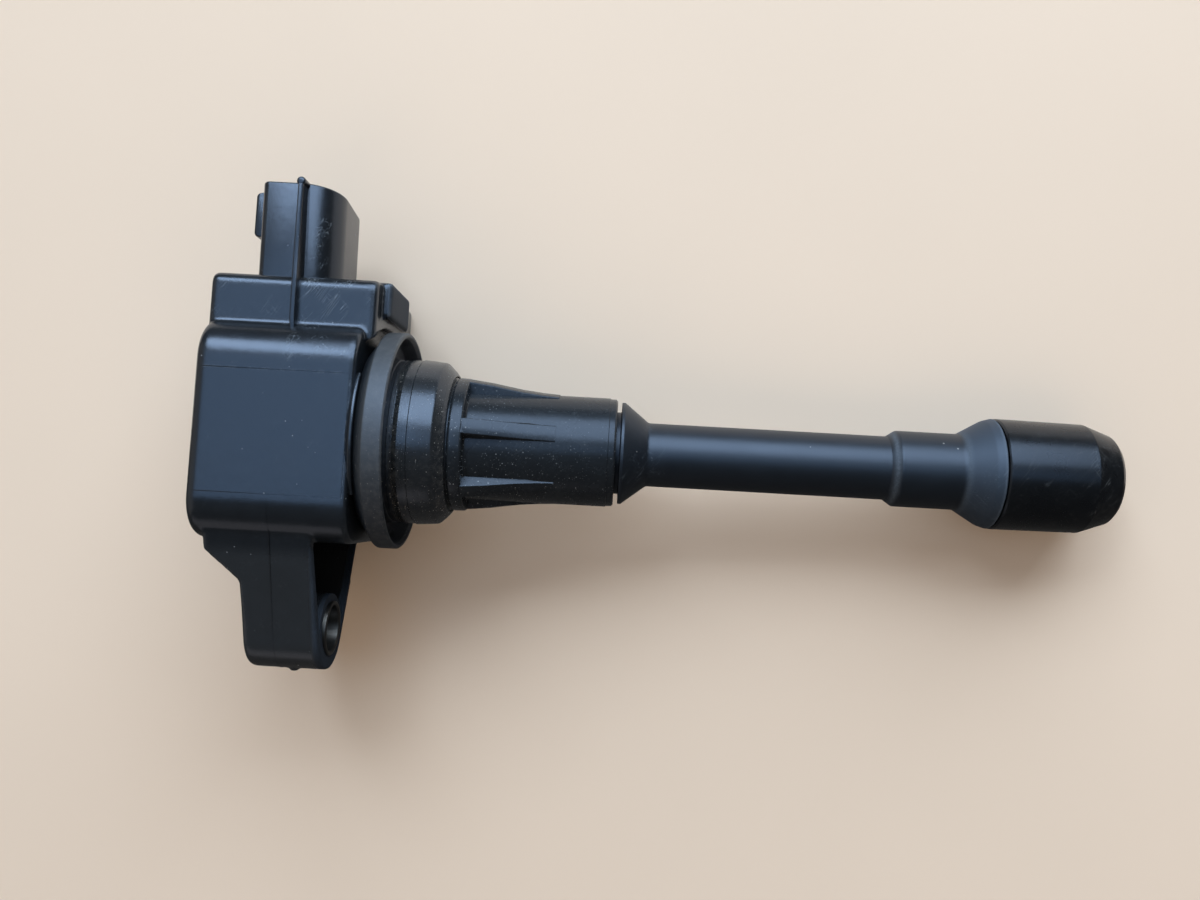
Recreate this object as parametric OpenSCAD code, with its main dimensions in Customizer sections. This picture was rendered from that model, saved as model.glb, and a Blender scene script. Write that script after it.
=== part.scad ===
/* [Head] */
// Length of the head block along the plug axis
head_len = 28.2; // [27:0.1:30]
// Width of the head block, from the ear's side to the stage's side
head_w = 39; // [38.6:0.1:40]
// Height of the head's front face over the plug axis
head_top = 16.5; // [16.2:0.1:17]
// Depth of the head's open back under the plug axis
head_back = 18.8; // [18.7:0.1:19.2]
// Radius of the two long front edges of the head
head_edge_r = 7.5; // [7.2:0.1:7.8]
// Radius of the head's corners at the end away from the plug
head_end_r = 3; // [2.5:0.1:3.2]
// Moulded wall thickness of the case
case_wall = 1.9; // [1.7:0.1:2]
// Radius of the round collar under the head
collar_r = 18.4; // [18:0.1:18.5]

/* [Stage and connector] */
// Reach of the stage from the plug axis
stage_reach = 27.9; // [27.5:0.1:28.5]
// Height of the stage's front face over the plug axis
stage_top = 12; // [11.5:0.1:12.2]
// Width of the connector shroud along the plug axis
shroud_w = 13.3; // [13:0.1:14]
// Height of the connector shroud across its three terminals
shroud_h = 19; // [18.5:0.1:20]
// Reach of the shroud's mouth from the plug axis
shroud_reach = 45.1; // [44.5:0.1:46]
// Wall thickness of the shroud
shroud_wall = 1.5; // [1.3:0.1:1.6]
// Spacing of the three terminals
terminal_pitch = 4.8; // [4.6:0.1:5]

/* [Bolt ear] */
// Distance from the plug axis to the bolt
bolt_offset = 35.4; // [35:0.1:36]
// Radius of the ear's round end
ear_end_r = 7.6; // [7.4:0.1:8]
// Thickness of the ear along the bolt
ear_t = 13; // [12.5:0.1:13.5]
// Outer diameter of the steel bush
bush_d = 10; // [9.6:0.1:10.4]
// Bore of the steel bush, for an M6 bolt
bush_bore_d = 7; // [6.6:0.1:7.4]

/* [Seal] */
// Outer diameter of the seal's flange
flange_d = 40.2; // [39.8:0.1:41]
// Diameter of the seal's sealing bead, which fits the well
bead_d = 31.2; // [30.8:0.1:31.4]
// Diameter of the seal's sleeve beside the bead
sleeve_d = 30; // [29.6:0.1:30.2]

/* [Tower and stem] */
// Outer diameter of the tower
tower_d = 20.2; // [20:0.1:20.6]
// Reach of the tower from the head's underside
tower_len = 45; // [44:0.1:46]
// Number of wedge ribs round the tower
rib_count = 6; // [3:1:8]
// Angle of the first rib, from the front towards the connector
rib_angle = 16; // [0:1:59]
// Diameter of the stem's spigot, which pushes into the tower
spigot_d = 15.2; // [15:0.1:15.3]
// Outer diameter of the slim shaft
shaft_d = 11.8; // [11.6:0.1:12.2]
// Outer diameter of the step sleeve near the boot
step_d = 14.1; // [13.9:0.1:14.4]
// Reach of the stem's bell rim from the head's underside
bell_reach = 115.8; // [115:0.1:117]

/* [Boot] */
// Outer diameter of the boot
boot_d = 20.5; // [20.2:0.1:20.8]
// Reach of the boot's mouth from the head's underside
boot_reach = 137.6; // [137:0.1:139]
// Bore of the boot, which grips the plug's insulator
plug_bore_d = 10.4; // [10:0.1:10.6]

/* [Contact spring] */
// Mean diameter of the spring
spring_d = 5.7; // [5.5:0.1:5.9]
// Wire diameter of the spring
spring_wire_d = 0.9; // [0.7:0.05:1]
// Number of open turns in the spring
spring_turns = 26; // [20:1:30]

/* [Hidden] */
$fn = 64;

// How far a cut runs past a face, or a joined shape runs into its neighbour
past = 1;

// The origin is on the plug axis at the middle of the seal's bead.
// X runs along the plug axis towards the plug, Y towards the connector, Z out of the head's front.
bead_from_head = 11.1;
head_x = -bead_from_head;
head_end_x = head_x - head_len;
half_w = head_w / 2;

// Head and stage
back_edge_r = 2;
collar_t = 1.7;
stage_x0 = head_end_x + 0.5;
stage_x1 = head_x + 1.5;
stage_y0 = half_w - 0.7;
stage_root = 3;
stage_corner_r = 1.2;
flange_room_r = flange_d / 2 + 0.5;
lug_reach_x = 2.3;
lug_len = 4.3;
lug_half_h = 8;

// Connector
shroud_x = head_x - 13.7;
shroud_x0 = shroud_x - shroud_w / 2;
shroud_x1 = shroud_x + shroud_w / 2;
shroud_tight_r = 1.2;
shroud_round_r = 3.6;
socket_floor_y = stage_reach + 3;
rib_w = 1;
rib_top = stage_top + 1;
rib_past_mouth = 0.5;
ramp_y0 = stage_reach + 7;
ramp_y1 = stage_reach + 15;
ramp_rise = 2.5;
ramp_tip_rise = 1.6;
ramp_half_h = 3.5;

// Bolt ear
ear_x0 = head_x - 19.5;
ear_x1 = ear_x0 + ear_t;
ear_root_y = -half_w + 2;
ear_root_half = 15.5;
ear_corner_r = 2;
ear_boss_r = bush_d / 2 + 1.6;
pocket_wall = 1.6;
pocket_slant = 1.15;
pocket_floor = 2;
pocket_y = -half_w - 1.6;
gusset_x = head_end_x + 2.6;
gusset_y0 = -half_w - 7;
gusset_y1 = -half_w - 1.6;
gusset_half_h = 11;
bush_x0 = ear_x0 - 0.2;
bush_x1 = ear_x1 + 1;
bush_chamfer = 0.5;

// Seal
neck_r = 12.4;
neck_len = 15.6;
seal_gap = 0.2;
seal_bore_r = neck_r + seal_gap;
seal_x0 = head_x + seal_gap;
seal_x1 = head_x + 15.4;
seal_end_r = 13.2;
seat_r = 17;
flange_x0 = head_x + 1.2;
flange_x1 = head_x + 5.1;
flange_back = [0.8, 0.7];
flange_edge = [0.5, 0.4];
lip_inner_r = 17.5;
lip_depth = 3;
bead_half = 2.5;
bead_ramp = 0.6;
sleeve_shoulder = [0.2, 0.5];

// Tower
tower_r = tower_d / 2;
tower_x1 = head_x + tower_len;
ring_x0 = head_x + 15.8;
ring_x1 = head_x + 17.5;
ring_r = 12.2;
rib_r = ring_r - 0.4;
rib_end_x = head_x + 34.6;
rib_thick = 2.8;
rib_root = 0.8;
rib_sink = 2;
rib_slope = (rib_r - tower_r) / (rib_end_x - ring_x1);
tower_bore_r = spigot_d / 2 + 0.15;
tower_seat_x = head_x + 22;
chamber_r = 5;
chamber_x = head_x + 10;

// Stem
spigot_r = spigot_d / 2;
spigot_x0 = tower_seat_x + 2;
spigot_lead = [0.6, 0.8];
stem_collar_x = tower_x1 + 1.2;
stem_collar_r = 9.45;
stem_collar_t = 0.6;
shaft_r = shaft_d / 2;
shaft_x0 = stem_collar_x + 5.1;
stem_bore_r = 4;
step_x = head_x + 95.4;
step_r = step_d / 2;
step_cone = 1.7;
joint_len = 3;
bell_x0 = head_x + 108.4;
bell_x1 = head_x + bell_reach;
bell_r = boot_d / 2 - 0.05;
bell_cone = 5.1;
bell_draft = 0.3;
nipple_r = 7.2;
nipple_x1 = bell_x1 + 10.2;
nipple_lead = 0.6;
plug_socket_r = 5.5;
o_ring_x = tower_x1 - 7;
o_ring_wire_r = 0.9;
o_ring_clear = 0.05;
groove_clear = 0.2;

// Boot
boot_r = boot_d / 2;
boot_x0 = bell_x1 + 0.2;
boot_x1 = head_x + boot_reach;
boot_edge = [0.2, 0.4];
boot_taper_x = boot_x1 - 5.4;
boot_taper_r = boot_r - 0.25;
boot_mouth_r = 8.1;
boot_cup_r = nipple_r + 0.2;
boot_cup_x = nipple_x1 + 0.3;
plug_bore_r = plug_bore_d / 2;
mouth_lead = 1;

// Transformer, with its axis along Y
coil_x = head_x - 14.1;
coil_z = head_top - 19;
cavity_x0 = head_end_x + case_wall;
cavity_x1 = head_x - case_wall;
cavity_half_w = half_w - case_wall;
potting_drop = 0.8;
core_half = 4;
core_y = 13.4;
magnet_t = 1.2;
yoke_half_y = half_w - 3.1;
yoke_half_z = 14.2;
yoke_window_z = 10.2;
bobbin_r = 6.3;
primary_r = 7.5;
bobbin_flange_t = 0.8;
bobbin_half = 13.2;
secondary_tube_r = 8.2;
secondary_flange_r = 9.9;
secondary_r = 9.6;
section_count = 6;
section_step = (2 * bobbin_half - bobbin_flange_t) / section_count;

// Igniter, diode and terminals
igniter_half_x = 9;
igniter_half_z = 8;
plate_y0 = 18.4;
plate_t = 1.2;
igniter_y1 = 25;
stage_wall = 1.6;
terminal_t = 0.64;
terminal_w = 2.2;
terminal_tip_y = shroud_reach - 4.2;
terminal_lead = 1;
diode_x = head_x - 5;
diode_z = coil_z - 9.4;
diode_r = 1.4;
diode_half = 5;
diode_lead_r = 0.4;
diode_lead_half = 9;
hv_post_r = 1.5;
hv_post_x = cavity_x1 - 1.8;
hv_flange_r = 3.4;
hv_flange_x = chamber_x + 1.2;
hv_pilot_r = 2.1;
hv_pilot_x = hv_flange_x + 3.8;
hv_pilot_lead = [0.8, 1];

// Contact spring
spring_r = spring_d / 2;
wire_r = spring_wire_d / 2;
spring_x0 = hv_flange_x + 0.5;
spring_x1 = head_x + 100;
spring_len = spring_x1 - spring_x0;
rings_per_turn = 8;
ring_count = spring_turns * rings_per_turn;
climb = atan2(spring_len, spring_turns * 2 * PI * spring_r);
wire_sides = 6;
tip_x0 = spring_x1 + wire_r + 0.2;
tip_x1 = tip_x0 + 1.9;
tip_edge = 0.3;

// Colours, as the photograph shows them
case_black = [0.10, 0.11, 0.13];
seal_black = [0.13, 0.13, 0.13];
stem_black = [0.11, 0.12, 0.15];
boot_black = [0.12, 0.12, 0.12];
steel = [0.62, 0.62, 0.60];
tin = [0.70, 0.68, 0.62];
copper = [0.62, 0.34, 0.18];
epoxy = [0.08, 0.08, 0.08];

// A solid turned about the plug axis from an outline of [radius, x] points
module turned(outline) {
    rotate([0, 90, 0])
        rotate_extrude()
            polygon(outline);
}

// A round bar along the plug axis
module bar_x(x0, x1, r) {
    translate([x0, 0, 0])
        rotate([0, 90, 0])
            cylinder(h = x1 - x0, r = r);
}

// A round bar along Y, for the transformer
module bar_y(y0, y1, r) {
    translate([0, y0, 0])
        rotate([-90, 0, 0])
            cylinder(h = y1 - y0, r = r);
}

// A block between two corners
module block(low, high) {
    translate(low)
        cube(high - low);
}

// Children drawn in the YZ plane and pulled along X
module pulled_x(x0, x1) {
    translate([x0, 0, 0])
        rotate([90, 0, 90])
            linear_extrude(x1 - x0)
                children();
}

// Children drawn in the XZ plane and pulled along Y
module pulled_y(y0, y1) {
    translate([0, y1, 0])
        rotate([90, 0, 0])
            linear_extrude(y1 - y0)
                children();
}

// Children drawn in the XY plane and pulled along Z
module pulled_z(z0, z1) {
    translate([0, 0, z0])
        linear_extrude(z1 - z0)
            children();
}

// What a rounded corner takes off a square one, where into points into the rectangle
module corner_cut(at, r, into) {
    if (r > 0)
        difference() {
            translate(at + (r - past) / 2 * into)
                square(r + past, center = true);
            translate(at + r * into)
                circle(r);
        }
}

// A rectangle with its own radius at each corner, anticlockwise from the low one
module soft_rect(low, high, radii) {
    difference() {
        translate(low)
            square(high - low);
        corner_cut(low, radii[0], [1, 1]);
        corner_cut([high[0], low[1]], radii[1], [-1, 1]);
        corner_cut(high, radii[2], [-1, -1]);
        corner_cut([low[0], high[1]], radii[3], [1, -1]);
    }
}

// Where a line from point p touches a circle at c
function touch(p, c, r) =
    let (d = p - c)
    let (turn = atan2(d[1], d[0]) + acos(r / norm(d)))
    c + r * [cos(turn), sin(turn)];

// The head's block: round front edges in section, round corners at its far end
module head_block() {
    intersection() {
        pulled_x(head_end_x, head_x)
            soft_rect([-half_w, -head_back], [half_w, head_top],
                [back_edge_r, back_edge_r, head_edge_r, head_edge_r]);
        pulled_z(-head_back, head_top)
            soft_rect([head_end_x, -half_w], [head_x, half_w], [head_end_r, 0, 0, head_end_r]);
    }
}

// The stage that holds the igniter, cut away where the seal's flange passes
module stage() {
    difference() {
        union() {
            pulled_z(-head_back, stage_top)
                soft_rect([stage_x0, stage_y0 - stage_root], [stage_x1, stage_reach],
                    [0, 0, stage_corner_r, stage_corner_r]);
            block([stage_x1 - past, stage_reach - lug_len, -lug_half_h],
                [stage_x1 + lug_reach_x, stage_reach, lug_half_h]);
        }
        bar_x(head_x, stage_x1 + past, flange_room_r);
    }
}

// A length of the thin rib that runs up the stage and on along the connector
module rib(y0, y1, z0) {
    block([shroud_x - rib_w / 2, y0, z0], [shroud_x + rib_w / 2, y1, rib_top]);
}

// The hollow of the head and the stage, open at the back down to z0
module cavity(z0) {
    pulled_x(cavity_x0, cavity_x1)
        soft_rect([-cavity_half_w, z0], [cavity_half_w, head_top - case_wall],
            [0, 0, head_edge_r - case_wall, head_edge_r - case_wall]);
    block([stage_x0 + case_wall, cavity_half_w - past, z0],
        [cavity_x1, stage_reach - stage_wall, stage_top - stage_wall]);
}

module coil_case() {
    color(case_black)
        difference() {
            union() {
                head_block();
                stage();
                rib(stage_y0, stage_reach, stage_top - past);
                bar_x(head_x - collar_t, head_x, collar_r);
            }
            cavity(-head_back - past);
            for (i = [-1 : 1])
                terminal(i);
            bar_x(cavity_x1 - past, head_x + past, hv_post_r);
        }
}

// The open end that takes the harness plug, with its floor on the stage
module connector_shroud() {
    color(case_black)
        difference() {
            union() {
                pulled_y(stage_reach, shroud_reach)
                    soft_rect([shroud_x0, -shroud_h / 2], [shroud_x1, shroud_h / 2],
                        [shroud_tight_r, shroud_round_r, shroud_round_r, shroud_tight_r]);
                rib(stage_reach, shroud_reach + rib_past_mouth, shroud_h / 2 - past);
                lock_ramp();
            }
            socket();
            for (i = [-1 : 1])
                terminal(i);
        }
}

module lock_ramp() {
    pulled_z(-ramp_half_h, ramp_half_h)
        polygon([
            [shroud_x0 + past, ramp_y0], [shroud_x0 + past, ramp_y1],
            [shroud_x0 - ramp_tip_rise, ramp_y1], [shroud_x0 - ramp_rise, ramp_y0]
        ]);
}

module socket() {
    pulled_y(socket_floor_y, shroud_reach + past)
        soft_rect([shroud_x0 + shroud_wall, -shroud_h / 2 + shroud_wall],
            [shroud_x1 - shroud_wall, shroud_h / 2 - shroud_wall],
            [0, shroud_round_r - shroud_wall, shroud_round_r - shroud_wall, 0]);
}

// The ear's outline seen along the bolt, or the same outline drawn in by a wall
module ear_outline(inset) {
    root = [ear_root_y, ear_root_half - pocket_slant * inset];
    end_r = ear_end_r - inset;
    tip = touch(root, [-bolt_offset, 0], end_r);
    polygon([root, tip, [tip[0], -tip[1]], [root[0], -root[1]]]);
    translate([-bolt_offset, 0])
        circle(end_r);
}

// The hollow in the ear's plug side, round the boss of the bush
module ear_pocket() {
    pulled_x(ear_x0 + pocket_floor, ear_x1 + past)
        difference() {
            ear_outline(pocket_wall);
            translate([-bolt_offset, 0])
                circle(ear_boss_r);
            translate([pocket_y, -head_w])
                square(2 * head_w);
        }
}

module bolt_ear() {
    color(case_black)
        difference() {
            union() {
                intersection() {
                    pulled_x(ear_x0, ear_x1)
                        ear_outline(0);
                    pulled_z(-ear_root_half, ear_root_half)
                        soft_rect([ear_x0, -bolt_offset - ear_end_r], [ear_x1, ear_root_y],
                            [ear_corner_r, 0, 0, 0]);
                }
                pulled_z(-gusset_half_h, gusset_half_h)
                    polygon([
                        [gusset_x, ear_root_y], [gusset_x, gusset_y1], [ear_x0, gusset_y0],
                        [ear_x0 + past, gusset_y0], [ear_x0 + past, ear_root_y]
                    ]);
            }
            ear_pocket();
            head_block();
            translate([0, -bolt_offset, 0])
                bar_x(ear_x0 - past, ear_x1 + past, bush_d / 2);
        }
}

// Neck, stop ring and tower, with the wedge ribs, down to the head's underside
module coil_tower() {
    color(case_black)
        difference() {
            union() {
                turned([
                    [0, head_x], [neck_r, head_x], [neck_r, head_x + neck_len], [ring_r, ring_x0],
                    [ring_r, ring_x1], [tower_r, ring_x1], [tower_r, tower_x1], [0, tower_x1]
                ]);
                for (i = [0 : rib_count - 1])
                    rotate([-rib_angle - i * 360 / rib_count, 0, 0])
                        wedge_rib();
            }
            bar_x(tower_seat_x, tower_x1 + past, tower_bore_r);
            bar_x(chamber_x, tower_seat_x + past, chamber_r);
            bar_x(head_x - past, chamber_x + past, hv_post_r);
        }
}

module wedge_rib() {
    root_r = tower_r - past;
    pulled_y(-rib_thick / 2, rib_thick / 2)
        polygon([
            [ring_x1 - rib_root, root_r], [ring_x1 - rib_root, rib_r + rib_root * rib_slope],
            [rib_end_x + rib_sink, tower_r - rib_sink * rib_slope], [rib_end_x, root_r]
        ]);
}

module potting() {
    color(epoxy)
        difference() {
            cavity(-head_back + potting_drop);
            translate([coil_x, 0, coil_z]) {
                bar_y(-bobbin_half, bobbin_half, secondary_flange_r);
                yoke();
                block([-core_half, -core_y, -core_half], [core_half, core_y, core_half]);
            }
            igniter_block(plate_y0, igniter_y1);
            hv_diode_shape();
            hv_terminal_shape();
            for (i = [-1 : 1])
                terminal(i);
        }
}

module centre_core() {
    color(steel)
        translate([coil_x, 0, coil_z])
            block([-core_half, -core_y, -core_half], [core_half, core_y - magnet_t, core_half]);
}

module core_magnet() {
    color([0.25, 0.25, 0.26])
        translate([coil_x, 0, coil_z])
            block([-core_half, core_y - magnet_t, -core_half], [core_half, core_y, core_half]);
}

// The outer frame of steel sheet that closes the core's loop
module yoke() {
    difference() {
        block([-core_half, -yoke_half_y, -yoke_half_z], [core_half, yoke_half_y, yoke_half_z]);
        block([-core_half - past, -core_y, -yoke_window_z], [core_half + past, core_y, yoke_window_z]);
    }
}

module outer_core() {
    color(steel)
        translate([coil_x, 0, coil_z])
            yoke();
}

module primary_bobbin() {
    color([0.75, 0.72, 0.62])
        translate([coil_x, 0, coil_z])
            difference() {
                union() {
                    bar_y(-bobbin_half, bobbin_half, bobbin_r);
                    bar_y(-bobbin_half, bobbin_flange_t - bobbin_half, primary_r);
                    bar_y(bobbin_half - bobbin_flange_t, bobbin_half, primary_r);
                }
                block([-core_half, -core_y, -core_half], [core_half, core_y, core_half]);
            }
}

// A plain ring along Y about the transformer's axis
module ring_y(y0, y1, r_in, r_out) {
    difference() {
        bar_y(y0, y1, r_out);
        bar_y(y0 - past, y1 + past, r_in);
    }
}

module primary_winding() {
    color(copper)
        translate([coil_x, 0, coil_z])
            ring_y(bobbin_flange_t - bobbin_half, bobbin_half - bobbin_flange_t, bobbin_r, primary_r);
}

module secondary_bobbin() {
    color([0.80, 0.78, 0.70])
        translate([coil_x, 0, coil_z])
            difference() {
                union() {
                    bar_y(-bobbin_half, bobbin_half, secondary_tube_r);
                    for (i = [0 : section_count])
                        translate([0, i * section_step - bobbin_half, 0])
                            bar_y(0, bobbin_flange_t, secondary_flange_r);
                }
                bar_y(-bobbin_half - past, bobbin_half + past, primary_r);
            }
}

module secondary_winding() {
    color([0.55, 0.27, 0.14])
        translate([coil_x, 0, coil_z])
            for (i = [0 : section_count - 1])
                translate([0, i * section_step - bobbin_half, 0])
                    ring_y(bobbin_flange_t, section_step, secondary_tube_r, secondary_r);
}

module igniter_block(y0, y1) {
    block([coil_x - igniter_half_x, y0, -igniter_half_z], [coil_x + igniter_half_x, y1, igniter_half_z]);
}

module igniter_module() {
    color([0.06, 0.06, 0.06])
        igniter_block(plate_y0 + plate_t, igniter_y1);
}

module igniter_heat_plate() {
    color([0.72, 0.72, 0.74])
        igniter_block(plate_y0, plate_y0 + plate_t);
}

module hv_diode_shape() {
    translate([diode_x, 0, diode_z]) {
        bar_y(-diode_half, diode_half, diode_r);
        bar_y(-diode_lead_half, diode_lead_half, diode_lead_r);
    }
}

module hv_diode() {
    color([0.10, 0.10, 0.10])
        hv_diode_shape();
}

// One flat terminal blade, i steps from the middle one
module terminal(i) {
    lead_y = terminal_tip_y - terminal_lead;
    translate([0, 0, i * terminal_pitch])
        pulled_x(shroud_x - terminal_t / 2, shroud_x + terminal_t / 2)
            polygon([
                [igniter_y1, -terminal_w / 2], [lead_y, -terminal_w / 2],
                [terminal_tip_y, -terminal_w / 4], [terminal_tip_y, terminal_w / 4],
                [lead_y, terminal_w / 2], [igniter_y1, terminal_w / 2]
            ]);
}

module terminal_supply() {
    color(tin)
        terminal(1);
}

module terminal_ground() {
    color(tin)
        terminal(0);
}

module terminal_signal() {
    color(tin)
        terminal(-1);
}

module hv_terminal_shape() {
    turned([
        [0, hv_post_x], [hv_post_r, hv_post_x], [hv_post_r, chamber_x],
        [hv_flange_r, chamber_x], [hv_flange_r, hv_flange_x], [hv_pilot_r, hv_flange_x],
        [hv_pilot_r, hv_pilot_x - hv_pilot_lead[1]], [hv_pilot_r - hv_pilot_lead[0], hv_pilot_x],
        [0, hv_pilot_x]
    ]);
}

module hv_terminal() {
    color([0.72, 0.60, 0.32])
        hv_terminal_shape();
}

module mount_bush() {
    bore_r = bush_bore_d / 2;
    color(steel)
        translate([0, -bolt_offset, 0])
            turned([
                [bore_r, bush_x0 + bush_chamfer], [bore_r + bush_chamfer, bush_x0],
                [bush_d / 2, bush_x0], [bush_d / 2, bush_x1],
                [bore_r + bush_chamfer, bush_x1], [bore_r, bush_x1 - bush_chamfer]
            ]);
}

module well_seal() {
    flange_r = flange_d / 2;
    bead_r = bead_d / 2;
    sleeve_r = sleeve_d / 2;
    recess_x = flange_x1 - lip_depth;
    color(seal_black)
        turned([
            [seal_bore_r, seal_x0], [seat_r, seal_x0], [flange_r - flange_back[0], flange_x0],
            [flange_r, flange_x0 + flange_back[1]], [flange_r, flange_x1 - flange_edge[1]],
            [flange_r - flange_edge[0], flange_x1], [lip_inner_r, flange_x1],
            [lip_inner_r, recess_x], [sleeve_r, recess_x],
            [sleeve_r, -bead_half - bead_ramp], [bead_r, -bead_half], [bead_r, bead_half],
            [sleeve_r - sleeve_shoulder[0], bead_half + sleeve_shoulder[1]],
            [seal_end_r, seal_x1], [seal_bore_r, seal_x1]
        ]);
}

// Spigot, collar, cone and slim shaft, with a short end inside the bell
module stem_tube() {
    groove_r = tower_bore_r - o_ring_clear - 2 * o_ring_wire_r;
    groove_half = o_ring_wire_r + groove_clear;
    color(stem_black)
        turned([
            [stem_bore_r, spigot_x0], [spigot_r - spigot_lead[0], spigot_x0],
            [spigot_r, spigot_x0 + spigot_lead[1]],
            [spigot_r, o_ring_x - groove_half], [groove_r, o_ring_x - groove_half],
            [groove_r, o_ring_x + groove_half], [spigot_r, o_ring_x + groove_half],
            [spigot_r, stem_collar_x], [stem_collar_r, stem_collar_x],
            [stem_collar_r, stem_collar_x + stem_collar_t], [shaft_r, shaft_x0], [shaft_r, step_x],
            [plug_socket_r, step_x], [plug_socket_r, step_x + joint_len],
            [stem_bore_r, step_x + joint_len]
        ]);
}

// Step sleeve, bell and the nipple that holds the boot, with the plug terminal's socket
module stem_bell() {
    color(stem_black)
        turned([
            [plug_socket_r, step_x], [shaft_r, step_x], [step_r, step_x + step_cone],
            [step_r, bell_x0], [bell_r - bell_draft, bell_x0 + bell_cone], [bell_r, bell_x1],
            [nipple_r, bell_x1], [nipple_r, nipple_x1 - nipple_lead],
            [nipple_r - nipple_lead, nipple_x1], [plug_socket_r, nipple_x1]
        ]);
}

module stem_o_ring() {
    color([0.16, 0.12, 0.10])
        rotate([0, 90, 0])
            rotate_extrude()
                translate([tower_bore_r - o_ring_clear - o_ring_wire_r, o_ring_x])
                    circle(o_ring_wire_r);
}

// A point on the spring's helix about the plug axis
function helix_point(i) =
    let (turn = i * 360 / rings_per_turn)
    [spring_x0 + spring_len * i / ring_count, spring_r * cos(turn), spring_r * sin(turn)];

// The ring of points round the wire there
function wire_ring(i) =
    let (turn = i * 360 / rings_per_turn)
    let (out = [0, cos(turn), sin(turn)])
    let (along = [sin(climb), -cos(climb) * sin(turn), cos(climb) * cos(turn)])
    let (over = cross(along, out))
    [for (k = [0 : wire_sides - 1])
        let (a = k * 360 / wire_sides)
        helix_point(i) + wire_r * (cos(a) * out + sin(a) * over)];

function wire_quad(i, k) =
    let (a = i * wire_sides + k)
    let (b = i * wire_sides + (k + 1) % wire_sides)
    [[a, b, a + wire_sides], [b, b + wire_sides, a + wire_sides]];

// The least gap between one turn of the wire and the next, measured on the helix's points
spring_gap = min([for (i = [3 : 2 * rings_per_turn])
    norm(helix_point(i) - helix_point(0)) - spring_wire_d]);
echo(str("contact spring, least gap to itself in mm: ", spring_gap));

module contact_spring() {
    last = ring_count * wire_sides;
    color(tin)
        polyhedron(
            points = [for (i = [0 : ring_count]) each wire_ring(i)],
            faces = concat(
                [for (i = [0 : ring_count - 1]) for (k = [0 : wire_sides - 1]) each wire_quad(i, k)],
                [for (k = [1 : wire_sides - 2]) [0, k + 1, k]],
                [for (k = [1 : wire_sides - 2]) [last, last + k, last + k + 1]]
            )
        );
}

// The spring's closed end turn, which presses on the plug's terminal
module spring_tip() {
    inner_r = spring_r - wire_r;
    outer_r = spring_r + wire_r;
    color(tin)
        turned([
            [inner_r, tip_x0], [outer_r, tip_x0], [outer_r, tip_x1 - tip_edge],
            [outer_r - tip_edge, tip_x1], [inner_r, tip_x1]
        ]);
}

module plug_boot() {
    color(boot_black)
        turned([
            [boot_cup_r, boot_x0], [boot_r - boot_edge[0], boot_x0], [boot_r, boot_x0 + boot_edge[1]],
            [boot_taper_r, boot_taper_x], [boot_mouth_r, boot_x1],
            [plug_bore_r + mouth_lead, boot_x1], [plug_bore_r, boot_x1 - mouth_lead],
            [plug_bore_r, boot_cup_x], [boot_cup_r, boot_cup_x]
        ]);
}

coil_case();
connector_shroud();
bolt_ear();
coil_tower();
potting();
centre_core();
outer_core();
core_magnet();
primary_bobbin();
primary_winding();
secondary_bobbin();
secondary_winding();
igniter_module();
igniter_heat_plate();
hv_diode();
terminal_supply();
terminal_ground();
terminal_signal();
hv_terminal();
mount_bush();
well_seal();
stem_tube();
stem_bell();
stem_o_ring();
contact_spring();
spring_tip();
plug_boot();
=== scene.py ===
# %% [markdown]
# # An ignition coil, dressed over its CAD frame
# The CAD model gives the exact sizes and the joints of a plug-top ignition coil. This lesson builds
# the visible pieces over it, in the same frame and in metres, and gives each one a finish.
# The first cell loads the frame.

# %% Load the frame
import math

import bmesh
import bpy
import numpy as np
from mathutils import Matrix, Vector


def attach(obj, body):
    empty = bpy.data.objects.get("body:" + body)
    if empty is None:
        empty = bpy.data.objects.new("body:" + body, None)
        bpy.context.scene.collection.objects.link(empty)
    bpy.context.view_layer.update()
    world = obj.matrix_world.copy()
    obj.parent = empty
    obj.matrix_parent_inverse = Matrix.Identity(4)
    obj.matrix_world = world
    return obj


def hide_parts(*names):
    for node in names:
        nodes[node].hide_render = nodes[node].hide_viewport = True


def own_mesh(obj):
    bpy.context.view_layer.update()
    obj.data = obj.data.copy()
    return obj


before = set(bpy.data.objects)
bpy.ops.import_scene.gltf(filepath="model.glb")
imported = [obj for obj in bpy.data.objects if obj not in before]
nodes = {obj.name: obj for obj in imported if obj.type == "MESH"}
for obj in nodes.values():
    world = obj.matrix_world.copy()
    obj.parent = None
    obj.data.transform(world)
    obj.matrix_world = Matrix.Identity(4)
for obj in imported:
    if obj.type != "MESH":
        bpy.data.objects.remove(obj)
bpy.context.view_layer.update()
MM = 0.001

# %% [markdown]
# ## Camera
# The coil is seen from almost straight above, lying on its back. A camera could be placed by eye,
# but here it is worked out: a distance, a focal length in pixels, and three small turns of the plug
# axis against the picture. The three camera directions come from those turns.

# %% Place the camera
PICTURE_WIDTH = 1200
FOCAL_PIXELS = 1006
SENSOR_MM = 36
AIM = Vector((31.4, 0.4, 0)) * MM
DISTANCE = 188 * MM
AXIS_TURN, BOOT_RISE, CONNECTOR_DROP = (math.radians(a) for a in (3.2, 0.85, 3.2))

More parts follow.
